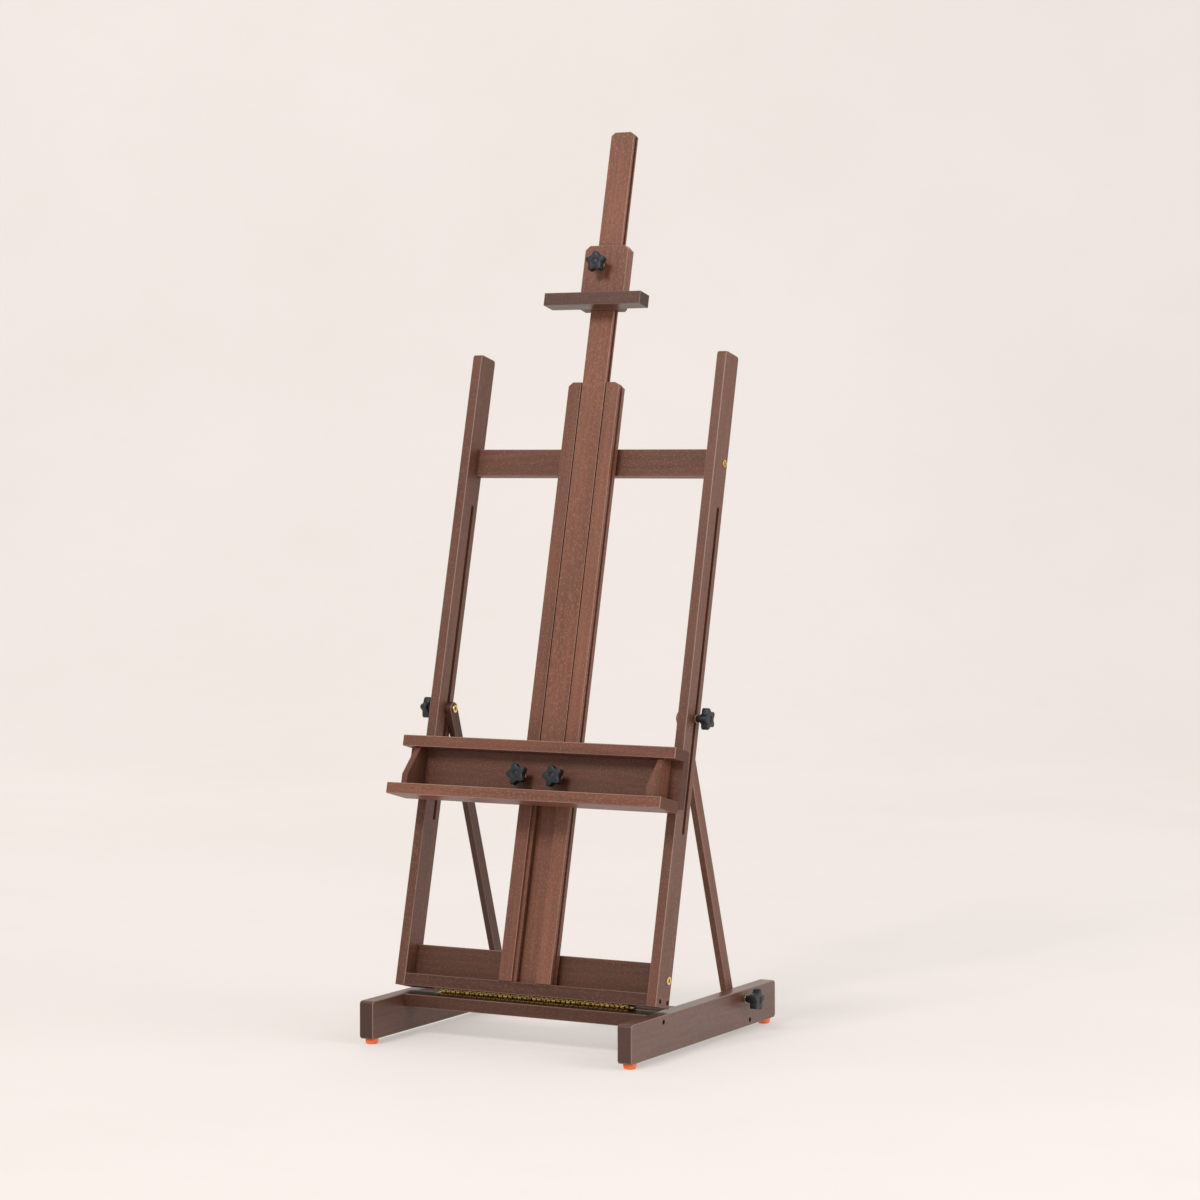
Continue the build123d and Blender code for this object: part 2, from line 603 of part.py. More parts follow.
# Upper canvas clamp: a block that wraps the mast's sides and a bar across its foot
with BuildPart() as clamp_block:
    with BuildSketch(front_plane(CLAMP_BACK)):
        with Locations((0, (CLAMP_LOW + CLAMP_HIGH) / 2)):
            Rectangle(2 * CLAMP_HALF, CLAMP_HIGH - CLAMP_LOW)
        chamfer(vertices().group_by(Axis.Y)[-1], length=CLAMP_CORNER)
        chamfer(vertices().group_by(Axis.Y)[0], length=CLAMP_LOWER_CORNER)
    extrude(amount=CLAMP_BACK - CLAMP_FRONT)
    fillet(clamp_block.faces().sort_by(Axis(at(0, 0, 0), BACK))[0].edges(), radius=THIN_EDGE)
    with BuildSketch(level_plane(CLAMP_LOW)):
        with Locations((0, (CLAMP_CHANNEL_FRONT + CLAMP_BACK) / 2)):
            Rectangle(2 * CLAMP_CHANNEL_HALF, CLAMP_BACK - CLAMP_CHANNEL_FRONT)
    extrude(amount=CLAMP_HIGH - CLAMP_LOW, mode=Mode.SUBTRACT)
    with BuildSketch(level_plane(CLAMP_LOW)):
        for side in SIDES.values():
            with Locations((side * (CLAMP_TONGUE_TIP + CLAMP_CHANNEL_HALF) / 2, sum(CLAMP_TONGUE) / 2)):
                Rectangle(CLAMP_CHANNEL_HALF - CLAMP_TONGUE_TIP, CLAMP_TONGUE[1] - CLAMP_TONGUE[0])
    extrude(amount=CLAMP_HIGH - CLAMP_LOW)
    with Locations(front_seat(CLAMP_KNOB_U, CLAMP_KNOB_V, CLAMP_FRONT)):
        Hole(radius=BOLT_HOLE, depth=-CLAMP_FRONT)
save(clamp_block, "clamp_block")

with BuildPart() as clamp_bar:
    with BuildSketch(front_plane(CLAMP_FRONT)):
        with Locations((0, (CLAMP_LOW + BAR_HIGH) / 2)):
            Rectangle(2 * BAR_HALF, BAR_HIGH - CLAMP_LOW)
    extrude(amount=CLAMP_FRONT - BAR_FRONT)
    fillet(clamp_bar.edges(), radius=THIN_EDGE)
save(clamp_bar, "clamp_bar")

# Rear stays with their bolts
for name, side in SIDES.items():
    lower_x = min(side * STAY_INNER, side * STAY_OUTER)
    with BuildPart() as stay:
        with BuildSketch(Plane(origin=STAY_FOOT + ACROSS * lower_x, x_dir=STAY_UP, z_dir=ACROSS)):
            with Locations((STAY_LENGTH / 2, 0)):
                SlotCenterToCenter(STAY_LENGTH, STAY_WIDTH)
        extrude(amount=STAY_THICK)
        fillet(stay.faces().filter_by(Axis.X).edges(), radius=EDGE)
        with Locations(base_side_seat(side, STAY_OUTER, STAY_FOOT_Y, STAY_FOOT_Z)):
            Hole(radius=BOLT_HOLE)
        with Locations(Plane(origin=STAY_HEAD + ACROSS * side * STAY_OUTER, z_dir=ACROSS * side)):
            Hole(radius=BOLT_SEAT)
    save(stay, f"stay_{name}")

    head_seat = Plane(origin=STAY_HEAD + ACROSS * side * STAY_INNER, z_dir=ACROSS * -side)
    save(bolt(head_seat, UPRIGHT_OUTER + KNOB_GAP + STUD_IN_KNOB - STAY_INNER), f"stay_head_bolt_{name}")
    foot_seat = Plane(origin=STAY_FOOT + ACROSS * side * (STAY_INNER - HEAD_CLEARANCE), z_dir=ACROSS * -side)
    foot_reach = RUNNER_OUTER + KNOB_GAP + STUD_IN_KNOB - STAY_INNER + HEAD_CLEARANCE
    save(bolt(foot_seat, foot_reach), f"stay_foot_bolt_{name}")

    knob_at_head = Plane(origin=STAY_HEAD + ACROSS * side * (UPRIGHT_OUTER + KNOB_GAP), z_dir=ACROSS * side)
    save(star_knob(knob_at_head), f"stay_head_knob_{name}")
    knob_at_foot = Plane(origin=STAY_FOOT + ACROSS * side * (RUNNER_OUTER + KNOB_GAP), z_dir=ACROSS * side)
    save(star_knob(knob_at_foot), f"stay_foot_knob_{name}")

# Clamping knobs with their studs
for name, side in SIDES.items():
    tray_seat = front_seat(side * TRAY_KNOB_U, TRAY_KNOB_V, TRAY_BOARD_FRONT - KNOB_STANDOFF)
    save(star_knob(tray_seat), f"tray_knob_{name}")
    save(knob_stud(tray_seat, KNOB_STANDOFF - TRAY_BOARD_FRONT - STUD_TIP_GAP), f"tray_knob_stud_{name}")

clamp_seat = front_seat(CLAMP_KNOB_U, CLAMP_KNOB_V, CLAMP_FRONT - KNOB_STANDOFF)
save(star_knob(clamp_seat), "clamp_knob")
save(knob_stud(clamp_seat, KNOB_STANDOFF - CLAMP_FRONT - STUD_TIP_GAP), "clamp_knob_stud")

lock_seat = back_seat(0, MAST_LOCK_V, RAIL_FRONT + KNOB_GAP)
save(star_knob(lock_seat), "mast_lock_knob")
save(knob_stud(lock_seat, RAIL_FRONT + KNOB_GAP - MAST_THICK - STUD_TIP_GAP), "mast_lock_stud")
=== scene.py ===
"""Looks of the wooden artist's easel: stained beech, brass, black moulded knobs and orange rubber feet.
Metres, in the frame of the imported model: +X to the viewer's right, +Y to the back, +Z up."""

import json
import math

import bmesh
import bpy
from mathutils import Matrix, Vector


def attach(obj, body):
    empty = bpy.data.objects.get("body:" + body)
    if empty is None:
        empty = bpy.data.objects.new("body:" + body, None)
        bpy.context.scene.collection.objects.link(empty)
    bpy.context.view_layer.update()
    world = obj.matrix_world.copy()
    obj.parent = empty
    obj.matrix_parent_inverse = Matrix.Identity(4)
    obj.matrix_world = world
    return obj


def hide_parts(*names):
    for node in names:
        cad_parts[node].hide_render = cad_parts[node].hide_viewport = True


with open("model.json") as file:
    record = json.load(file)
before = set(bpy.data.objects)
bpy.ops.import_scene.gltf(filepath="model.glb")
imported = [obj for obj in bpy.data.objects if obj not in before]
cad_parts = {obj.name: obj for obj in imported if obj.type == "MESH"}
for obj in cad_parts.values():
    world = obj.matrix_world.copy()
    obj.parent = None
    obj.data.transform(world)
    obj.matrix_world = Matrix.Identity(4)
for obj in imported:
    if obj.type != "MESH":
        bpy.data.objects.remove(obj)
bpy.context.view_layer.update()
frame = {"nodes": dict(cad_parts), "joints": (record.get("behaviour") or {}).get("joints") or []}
nodes = frame["nodes"]
MM = 0.001

# Directions at rest: UP runs up the leaning frame, along the mast's slide, and BACK is square to its front
joints = {joint["name"]: joint for joint in frame["joints"]}
ACROSS = Vector((1, 0, 0))
UP = Vector(joints["mast_slide"]["axis"]).normalized()
BACK = ACROSS.cross(UP) * -1
SIDES = ("left", "right")

# Star knob, in millimetres from its seat
KNOB_NECK = 6.5
KNOB_NECK_TOP = 10.0
KNOB_FLANGE = 13.5
KNOB_STAR_LOW = 16.0
KNOB_STAR_HIGH = 30.0
KNOB_REACH = 20.6
KNOB_VALLEY = 14.4
KNOB_RECESS = 6.0
KNOB_LOBES = 5
KNOB_SEGMENTS = 120
INSERT_RADIUS = 7.2
INSERT_HEIGHT = 1.9
INSERT_BORE = 3.1

# Fasteners: head radius, head height, shank radius, recess size and recess depth, in millimetres
WOOD_SCREW = (4.2, 2.5, 2.2, 2.4, 1.4)
FRAME_BOLT = (7.5, 1.6, 3.0, 4.0, 3.0)
STAY_BOLT = (7.5, 2.6, 3.0, 4.0, 3.2)
HINGE_SCREW = (2.7, 0.9, 1.2, 1.5, 0.6)
HINGE_SCREW_LENGTH = 1.15
HINGE_LEAF_HALF = 0.6
TURNED_SEGMENTS = 48
FOOT_SEGMENTS = 64

# Piano hinge, from one knuckle to the next
KNUCKLE_PITCH = 10.25 * MM

# Stain on the beech in linear light, before each board's own tone, and a painted highlight for its rounded
# edges
STAIN_DEEP = (0.130, 0.0450, 0.0262)
STAIN_MIDDLE = (0.208, 0.0790, 0.0480)
STAIN_LIGHT = (0.305, 0.1290, 0.0830)
STAIN_OLIVE = (0.142, 0.0660, 0.0385)
# Painted highlight colour for the rounded edges of the boards
PAINTED_ARRIS_HIGHLIGHT = (0.400, 0.2450, 0.1950)

# Floor that bends up into a wall, in metres
FLOOR_FRONT = -14.0
FLOOR_BACK = 5.0
FLOOR_HALF_WIDTH = 16.0
BEND_RADIUS = 4.0
BEND_STEPS = 30
WALL_TOP = 14.0
FLOOR_GLOW = (0.80, 0.755, 0.725, 1.0)
FLOOR_GLOW_STRENGTH = 0.46

# Soft light from all round
SKY = (0.94, 0.91, 0.88, 1.0)
SKY_STRENGTH = 0.64

# Area lights: place, target, width and height in metres, power in watts, colour
LIGHTS = {
    "key": ((-1.0, -7.6, 7.2), (0, 0, 0.8), (2.4, 2.4), 470.0, (1.0, 0.97, 0.93)),
    "fill_right": ((6.0, 0.2, 2.6), (0, 0, 0.7), (3.5, 4.0), 165.0, (0.96, 0.98, 1.0)),
    "backdrop": ((-2.5, 2.5, 4.5), (-6.0, 6.2, 1.0), (5.0, 1.6), 45.0, (1.0, 0.98, 0.96)),
}

# Steepest angle between neighbouring faces that is still shaded smooth, in degrees
CAD_SMOOTH = 30.0
TURNED_SMOOTH = 35.0
KNOB_SMOOTH = 40.0
FOOT_SMOOTH = 50.0
FLOOR_SMOOTH = 80.0

# Camera
CAMERA_PLACE = Vector((3.1390, -5.5336, 1.1088))
CAMERA_AZIMUTH = math.radians(29.04)
CAMERA_PITCH = math.radians(0.5)
CAMERA_ROLL = math.radians(-0.212)
CAMERA_LENS = 102.07
CAMERA_SHIFT_UP = -0.159


# ---------------------------------------------------------------- node helpers


class Shader:
    """A material under construction, with short calls for the nodes it is made of."""

    def __init__(self, name):
        self.material = bpy.data.materials.new(name)
        self.material.use_nodes = True
        self.tree = self.material.node_tree
        self.tree.nodes.clear()
        self.output = self.tree.nodes.new("ShaderNodeOutputMaterial")
        self.principled = self.tree.nodes.new("ShaderNodeBsdfPrincipled")
        self.link(self.principled.outputs[0], self.output.inputs["Surface"])
        self.place = self.tree.nodes.new("ShaderNodeTexCoord")

    def link(self, source, target):
        self.tree.links.new(source, target)

    def feed(self, socket, value):
        """Links an output to a socket, or sets the socket to a plain value."""
        if isinstance(value, bpy.types.NodeSocket):
            self.link(value, socket)
        else:
            socket.default_value = value

    def math(self, operation, first, second=0.0, clamp=False):
        node = self.tree.nodes.new("ShaderNodeMath")
        node.operation = operation
        node.use_clamp = clamp
        for socket, value in zip(node.inputs, (first, second)):
            self.feed(socket, value)
        return node.outputs[0]

    def vector(self, operation, first, second=(0, 0, 0)):
        node = self.tree.nodes.new("ShaderNodeVectorMath")
        node.operation = operation
        self.feed(node.inputs[0], first)
        self.feed(node.inputs[1], second)
        return node.outputs["Value"] if operation in ("DOT_PRODUCT", "LENGTH") else node.outputs[0]

    def turned(self, vector, rotation, shift):
        node = self.tree.nodes.new("ShaderNodeMapping")
        self.feed(node.inputs["Vector"], vector)
        node.inputs["Rotation"].default_value = rotation
        node.inputs["Location"].default_value = shift
        return node.outputs[0]

    def noise(self, vector, scale, detail, roughness):
        node = self.tree.nodes.new("ShaderNodeTexNoise")
        self.feed(node.inputs["Vector"], vector)
        node.inputs["Scale"].default_value = scale
        node.inputs["Detail"].default_value = detail
        node.inputs["Roughness"].default_value = roughness
        return node.outputs["Fac"]

    def squeezed_noise(self, vector, squeeze, detail, roughness):
        """Noise with its own fineness, in features per metre, along each axis."""
        return self.noise(self.vector("MULTIPLY", vector, squeeze), 1.0, detail, roughness)

    def bands(self, vector, scale, distortion):
        node = self.tree.nodes.new("ShaderNodeTexWave")
        node.wave_type = "BANDS"
        node.bands_direction = "Y"
        self.feed(node.inputs["Vector"], vector)
        node.inputs["Scale"].default_value = scale
        node.inputs["Distortion"].default_value = distortion
        node.inputs["Detail"].default_value = 2.0
        node.inputs["Detail Scale"].default_value = 1.4
        return node.outputs["Fac"]

    def span(self, value, low, high, to_low=0.0, to_high=1.0):
        node = self.tree.nodes.new("ShaderNodeMapRange")
        node.interpolation_type = "SMOOTHSTEP"
        self.feed(node.inputs["Value"], value)
        node.inputs["From Min"].default_value = low
        node.inputs["From Max"].default_value = high
        node.inputs["To Min"].default_value = to_low
        node.inputs["To Max"].default_value = to_high
        return node.outputs[0]

    def mix(self, factor, first, second):
        node = self.tree.nodes.new("ShaderNodeMix")
        node.data_type = "RGBA"
        self.feed(node.inputs[0], factor)
        for socket, value in zip((node.inputs[6], node.inputs[7]), (first, second)):
            self.feed(socket, value if isinstance(value, bpy.types.NodeSocket) else (*value, 1.0))
        return node.outputs[2]

    def bump(self, height, strength, distance):
        node = self.tree.nodes.new("ShaderNodeBump")
        self.feed(node.inputs["Height"], height)
        node.inputs["Strength"].default_value = strength
        node.inputs["Distance"].default_value = distance
        return node.outputs[0]

    def edges(self, radius):
        """0 on flat surfaces, rising at outer and inner edges."""
        bevel = self.tree.nodes.new("ShaderNodeBevel")
        bevel.samples = 4
        bevel.inputs["Radius"].default_value = radius
        geometry = self.tree.nodes.new("ShaderNodeNewGeometry")
        sameness = self.vector("DOT_PRODUCT", bevel.outputs[0], geometry.outputs["Normal"])
        return self.math("SUBTRACT", 1.0, sameness, clamp=True)

    def finish(self, colour, roughness, normal=None, **constants):
        self.feed(self.principled.inputs["Base Color"], colour)
        self.feed(self.principled.inputs["Roughness"], roughness)
        if normal is not None:
            self.feed(self.principled.inputs["Normal"], normal)
        for name, value in constants.items():
            self.principled.inputs[name.replace("_", " ")].default_value = value
        return self.material


# ---------------------------------------------------------------- materials


def scaled(colour, factor):
    return tuple(channel * factor for channel in colour)


def board_directions(grain, face):
    """Along the grain, across it and outward, square to each other."""
    along = grain.normalized()
    outward = (face - along * face.dot(along)).normalized()
    return along, outward.cross(along), outward


def beech_colour(shader, local, clouds, streaks, pores, tone):
    """Stain with wide figure, fine streaks, olive patches, pale flecks and dark pores."""
    figure = shader.bands(shader.vector("MULTIPLY", local, (1.3, 12.0, 5.0)), 2.0, 7.0)
    flecks = shader.squeezed_noise(local, (230.0, 420.0, 420.0), 2.0, 0.6)
    patches = shader.squeezed_noise(local, (9.0, 30.0, 30.0), 3.0, 0.6)
    deep = scaled(STAIN_DEEP, tone)
    light = scaled(STAIN_LIGHT, tone)
    colour = shader.mix(shader.span(clouds, 0.25, 0.75), deep, scaled(STAIN_MIDDLE, tone))
    colour = shader.mix(shader.span(figure, 0.2, 0.95, 0.0, 0.16), colour, light)
    colour = shader.mix(shader.span(streaks, 0.46, 0.78, 0.0, 0.18), colour, deep)
    colour = shader.mix(shader.span(patches, 0.35, 0.65, 0.0, 0.5), colour, scaled(STAIN_OLIVE, tone))
    colour = shader.mix(shader.span(flecks, 0.50, 0.68, 0.0, 0.70), colour, light)
    return shader.mix(shader.span(pores, 0.58, 0.72, 0.0, 0.42), colour, scaled(deep, 0.45))


def stained_beech(name, grain, face, shift, tone, gloss):
    """Walnut-stained beech whose grain runs along grain; face is the direction its widest side looks in."""
    shader = Shader(name)
    directions = board_directions(grain, face)
    local = shader.turned(shader.place.outputs["Object"], Matrix(directions).to_euler(), shift)
    clouds = shader.squeezed_noise(local, (2.2, 16.0, 16.0), 3.0, 0.55)
    streaks = shader.squeezed_noise(local, (9.0, 170.0, 170.0), 4.0, 0.6)
    pores = shader.squeezed_noise(local, (90.0, 950.0, 950.0), 2.0, 0.5)
    colour = beech_colour(shader, local, clouds, streaks, pores, tone)

    # Dark end grain, and a painted highlight along the rounded edges of the widest sides
    facing = shader.place.outputs["Normal"]
    lengthwise, sideways, out = [
        shader.math("ABSOLUTE", shader.vector("DOT_PRODUCT", facing, tuple(axis))) for axis in directions
    ]
    end_mask = shader.span(lengthwise, 0.75, 0.95, 0.0, 0.8)
    colour = shader.mix(end_mask, colour, scaled(scaled(STAIN_DEEP, tone), 0.6))
    arris = shader.math("MULTIPLY", out, shader.math("ADD", lengthwise, sideways))
    patchy = shader.span(clouds, 0.25, 0.6, 0.40, 0.72)
    # Painted highlight on the arrises, patchy across the board
    painted_highlight_mask = shader.math("MULTIPLY", shader.span(arris, 0.12, 0.42), patchy)
    colour = shader.mix(painted_highlight_mask, colour, scaled(PAINTED_ARRIS_HIGHLIGHT, 0.35 + 0.65 * tone))

    rough_ends = shader.math("MULTIPLY", end_mask, 0.25)
    roughness = shader.math("ADD", shader.span(streaks, 0.3, 0.8, 0.40, 0.54), rough_ends)
    pits = shader.span(pores, 0.58, 0.72, 0.0, 0.8)
    relief = shader.math("SUBTRACT", shader.math("MULTIPLY", streaks, 0.5), pits)
    normal = shader.bump(relief, 0.35, 0.25 * MM)
    lacquer = {"Coat_Weight": gloss, "Coat_Roughness": 0.34, "Specular_IOR_Level": 0.25}
    return shader.finish(colour, roughness, normal, **lacquer)


def brass(name, knuckle_pitch=None):
    """Polished brass; a hinge gets painted shade in the gaps between its knuckles, which lie either side of
    the middle.
    """
    shader = Shader(name)
    here = shader.place.outputs["Object"]
    tarnish = shader.noise(here, 110.0, 4.0, 0.6)
    scratches = shader.squeezed_noise(here, (60.0, 2400.0, 2400.0), 2.0, 0.5)
    colour = shader.mix(shader.span(tarnish, 0.40, 0.75), (0.90, 0.68, 0.28), (0.42, 0.25, 0.08))
    colour = shader.mix(shader.span(shader.edges(0.5 * MM), 0.05, 0.4, 0.0, 0.6), colour, (0.98, 0.84, 0.50))
    roughness = shader.span(tarnish, 0.3, 0.8, 0.16, 0.40)
    if knuckle_pitch:
        # Painted shade in the gaps between the knuckles, once every knuckle pitch along the hinge
        place = shader.vector("DOT_PRODUCT", here, tuple(ACROSS / knuckle_pitch))
        from_middle = shader.math("ABSOLUTE", shader.math("SUBTRACT", shader.math("FRACT", place), 0.5))
        painted_gap_shade = shader.span(from_middle, 0.36, 0.44)
        colour = shader.mix(painted_gap_shade, colour, (0.030, 0.020, 0.012))
        roughness = shader.math("ADD", roughness, shader.math("MULTIPLY", painted_gap_shade, 0.4))
    return shader.finish(colour, roughness, shader.bump(scratches, 0.15, 0.05 * MM), Metallic=1.0)


def black_plastic():
    shader = Shader("black_plastic")
    here = shader.place.outputs["Object"]
    mottle = shader.noise(here, 900.0, 3.0, 0.6)
    dust = shader.noise(here, 70.0, 4.0, 0.65)
    colour = shader.mix(shader.span(dust, 0.4, 0.8), (0.011, 0.014, 0.018), (0.022, 0.027, 0.034))
    # Painted highlight along the rims and edges of the knobs
    rims = shader.span(shader.edges(1.0 * MM), 0.02, 0.2, 0.0, 0.75)
    colour = shader.mix(rims, colour, (0.120, 0.132, 0.148))
    roughness = shader.span(dust, 0.3, 0.8, 0.34, 0.48)
    return shader.finish(colour, roughness, shader.bump(mottle, 0.10, 0.08 * MM), Specular_IOR_Level=0.4)


def dark_steel():
    shader = Shader("black_oxide_steel")
    here = shader.place.outputs["Object"]
    wear = shader.noise(here, 500.0, 3.0, 0.6)
    colour = shader.mix(shader.span(wear, 0.4, 0.8), (0.030, 0.029, 0.028), (0.110, 0.104, 0.098))
    colour = shader.mix(shader.span(shader.edges(0.4 * MM), 0.05, 0.4, 0.0, 0.6), colour, (0.30, 0.29, 0.28))
    return shader.finish(colour, shader.span(wear, 0.3, 0.8, 0.32, 0.55), Metallic=0.9)


def orange_rubber():
    shader = Shader("orange_rubber")
    here = shader.place.outputs["Object"]
    mottle = shader.noise(here, 300.0, 4.0, 0.6)
    scuff = shader.noise(here, 60.0, 3.0, 0.6)
    height = shader.vector("DOT_PRODUCT", here, (0.0, 0.0, 1.0))
    low_down = shader.span(height, 0.0, 3.5 * MM, 0.7, 0.0)
    dirt = shader.math("MULTIPLY", low_down, shader.span(scuff, 0.35, 0.65))
    colour = shader.mix(shader.span(mottle, 0.3, 0.7), (0.86, 0.130, 0.030), (0.98, 0.190, 0.050))
    colour = shader.mix(dirt, colour, (0.36, 0.17, 0.11))
    roughness = shader.span(mottle, 0.3, 0.7, 0.48, 0.62)
    return shader.finish(colour, roughness, shader.bump(mottle, 0.2, 0.2 * MM))


def pale_floor():
    shader = Shader("pale_plaster")
    here = shader.place.outputs["Object"]
    cloud = shader.noise(here, 0.55, 3.0, 0.55)
    trowel = shader.noise(here, 6.0, 6.0, 0.65)
    colour = shader.mix(shader.span(cloud, 0.3, 0.7), (0.485, 0.455, 0.432), (0.515, 0.487, 0.465))
    colour = shader.mix(shader.span(trowel, 0.45, 0.75, 0.0, 0.18), colour, (0.455, 0.420, 0.394))
    normal = shader.bump(trowel, 0.05, 2.0 * MM)
    glow = {"Emission_Color": FLOOR_GLOW, "Emission_Strength": FLOOR_GLOW_STRENGTH}
    return shader.finish(colour, 0.75, normal, **glow)


# ---------------------------------------------------------------- mesh helpers


def add_object(name, mesh_maker, material, smooth_angle=TURNED_SMOOTH):
    """Makes a mesh object from a bmesh filled by mesh_maker."""
    surface = bmesh.new()
    mesh_maker(surface)
    bmesh.ops.recalc_face_normals(surface, faces=surface.faces)
    mesh = bpy.data.meshes.new(name)
    surface.to_mesh(mesh)
    surface.free()
    mesh.materials.append(material)
    soften(mesh, smooth_angle)
    piece = bpy.data.objects.new(name, mesh)
    bpy.context.scene.collection.objects.link(piece)
    return piece


def place_piece(piece, body, slot, *replaced):
    """Says what a new piece rides on and which nodes it stands for; slot is not used."""
    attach(piece, body)
    if replaced:
        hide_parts(*replaced)


def soften(mesh, angle):
    """Smooth shading with sharp edges above an angle in degrees."""
    mesh.polygons.foreach_set("use_smooth", [True] * len(mesh.polygons))
    mesh.set_sharp_from_angle(angle=math.radians(angle))


def seat_matrix(point, outward):
    """Frame at a seat: local z points outward, local y as nearly up as it can."""
    z_axis = Vector(outward).normalized()
    upward = Vector((0, 0, 1)) if abs(z_axis.z) < 0.9 else Vector((0, 1, 0))
    x_axis = upward.cross(z_axis).normalized()
    y_axis = z_axis.cross(x_axis)
    turn = Matrix((x_axis, y_axis, z_axis)).transposed().to_4x4()
    return Matrix.Translation(point) @ turn


def add_rings(surface, rings):
    """Bridges rings of points, all of one length, into a closed skin."""
    loops = [[surface.verts.new(point) for point in ring] for ring in rings]
    count = len(loops[0])
    for low, high in zip(loops, loops[1:]):
        for i in range(count):
            j = (i + 1) % count
            surface.faces.new((low[i], low[j], high[j], high[i]))
    surface.faces.new(list(reversed(loops[0])))
    surface.faces.new(loops[-1])


def ring_points(place, reach, height, segments):
    """Points round the local z axis; reach gives the radius at an angle, in millimetres like the height."""
    points = []
    for i in range(segments):
        angle = 2 * math.pi * i / segments
        radius = reach(angle)
        points.append(place @ (Vector((radius * math.cos(angle), radius * math.sin(angle), height)) * MM))
    return points


def lathe_rings(profile, segments, place):
    """Rings of a turned piece; profile lists (radius, height) in millimetres."""
    return [ring_points(place, lambda angle: radius, height, segments) for radius, height in profile]


# ---------------------------------------------------------------- star knobs


def lobe_radius(angle):
    """Outline of the star at an angle: narrow rounded lobes with wide valleys between them."""
    wave = 0.5 + 0.5 * math.cos(KNOB_LOBES * angle)
    return KNOB_VALLEY + (KNOB_REACH - KNOB_VALLEY) * wave**1.2


def star_ring(place, height, inward, spin):
    return ring_points(place, lambda angle: lobe_radius(angle - spin) - inward, height, KNOB_SEGMENTS)


def star_knob(node, body, joint, spin, material, insert_material):
    """A moulded knob: brass insert, neck, flared flange, lobed head with soft rims and a sunk round cap."""
    place = seat_matrix(joints[joint]["pos_m"], joints[joint]["axis"])

    def shape(surface):
        neck = [(INSERT_BORE, INSERT_HEIGHT), (KNOB_NECK - 0.4, INSERT_HEIGHT)]
        neck += [(KNOB_NECK, INSERT_HEIGHT + 0.5)]
        neck += [(KNOB_NECK, KNOB_NECK_TOP - 2.5), (KNOB_NECK + 0.8, KNOB_NECK_TOP - 0.6)]
        neck += [(KNOB_FLANGE - 2.4, KNOB_STAR_LOW - 2.2), (KNOB_FLANGE - 0.8, KNOB_STAR_LOW - 0.2)]
        rings = lathe_rings(neck, KNOB_SEGMENTS, place)
        rim = [(0.0, 1.0), (0.3, 0.4), (1.2, 0.0), (KNOB_STAR_HIGH - KNOB_STAR_LOW - 1.8, 0.0)]
        rim += [(KNOB_STAR_HIGH - KNOB_STAR_LOW - below, inward)
                for below, inward in ((1.1, 0.25), (0.5, 0.75), (0.15, 1.5), (0.0, 2.6))]
        rings += [star_ring(place, KNOB_STAR_LOW + rise, inward, spin) for rise, inward in rim]
        face = [(KNOB_RECESS + 1.2, KNOB_STAR_HIGH), (KNOB_RECESS + 0.4, KNOB_STAR_HIGH - 0.05)]
        face += [(KNOB_RECESS, KNOB_STAR_HIGH - 0.4), (KNOB_RECESS - 0.3, KNOB_STAR_HIGH - 2.0)]
        face += [(KNOB_RECESS - 0.9, KNOB_STAR_HIGH - 2.0), (KNOB_RECESS - 1.2, KNOB_STAR_HIGH - 1.3)]
        face += [(3.0, KNOB_STAR_HIGH - 1.0), (0.6, KNOB_STAR_HIGH - 0.9)]
        rings += lathe_rings(face, KNOB_SEGMENTS, place)
        add_rings(surface, rings)

    def insert(surface):
        profile = [(INSERT_BORE, 0.0), (INSERT_RADIUS - 0.4, 0.0), (INSERT_RADIUS, 0.3)]
        profile += [(INSERT_RADIUS, INSERT_HEIGHT - 0.4), (INSERT_RADIUS - 0.4, INSERT_HEIGHT)]
        profile += [(INSERT_BORE, INSERT_HEIGHT)]
        add_rings(surface, lathe_rings(profile, TURNED_SEGMENTS, place))

    place_piece(add_object(f"{node}_moulded", shape, material, KNOB_SMOOTH), body, "black_plastic", node)
    place_piece(add_object(f"{node}_insert", insert, insert_material), body, "brass")


# ---------------------------------------------------------------- fasteners and feet


def solid_boxes(node):
    """Lowest and highest corner of each separate solid in a node, from left to right."""
    surface = bmesh.new()
    surface.from_mesh(nodes[node].data)
    bmesh.ops.remove_doubles(surface, verts=surface.verts, dist=1e-6)
    unseen = set(surface.verts)
    boxes = []
    while unseen:
        reached = [unseen.pop()]
        for vert in reached:
            for edge in vert.link_edges:
                other = edge.other_vert(vert)
                if other in unseen:
                    unseen.remove(other)
                    reached.append(other)
        low = Vector([min(vert.co[i] for vert in reached) for i in range(3)])
        high = Vector([max(vert.co[i] for vert in reached) for i in range(3)])
        boxes.append((low, high))
    surface.free()
    return sorted(boxes, key=lambda box: tuple(box[0]))


def hex_reach(angle, size):
    """Outline of a hexagonal socket."""
    wedge = (angle + math.pi / 6) % (math.pi / 3) - math.pi / 6
    return size * math.cos(math.pi / 6) / math.cos(wedge)


def cross_reach(angle, size):
    """Outline of a cross recess."""
    quarter = (angle + math.pi / 4) % (math.pi / 2) - math.pi / 4
    return size * (0.32 + 0.68 * math.exp(-((quarter / 0.30) ** 4)))


def headed(surface, place, length, sizes, reach):
    """Bolt or screw as one skin, from the tip of its shank to the floor of its recess, facing local z."""
    head, head_height, shank, recess, depth = sizes
    profile = [(shank * 0.7, -length), (shank, -length + 0.3), (shank, -head_height)]
    profile += [(head - 0.2, -head_height), (head, -head_height + 0.2)]
    profile += [(head, -0.45), (head - 0.15, -0.15), (head - 0.5, 0.0)]
    rings = lathe_rings(profile, TURNED_SEGMENTS, place)
    for size, height in ((recess, 0.0), (recess * 0.85, -depth)):
        rings.append(ring_points(place, lambda angle: reach(angle, size), height, TURNED_SEGMENTS))
    add_rings(surface, rings)


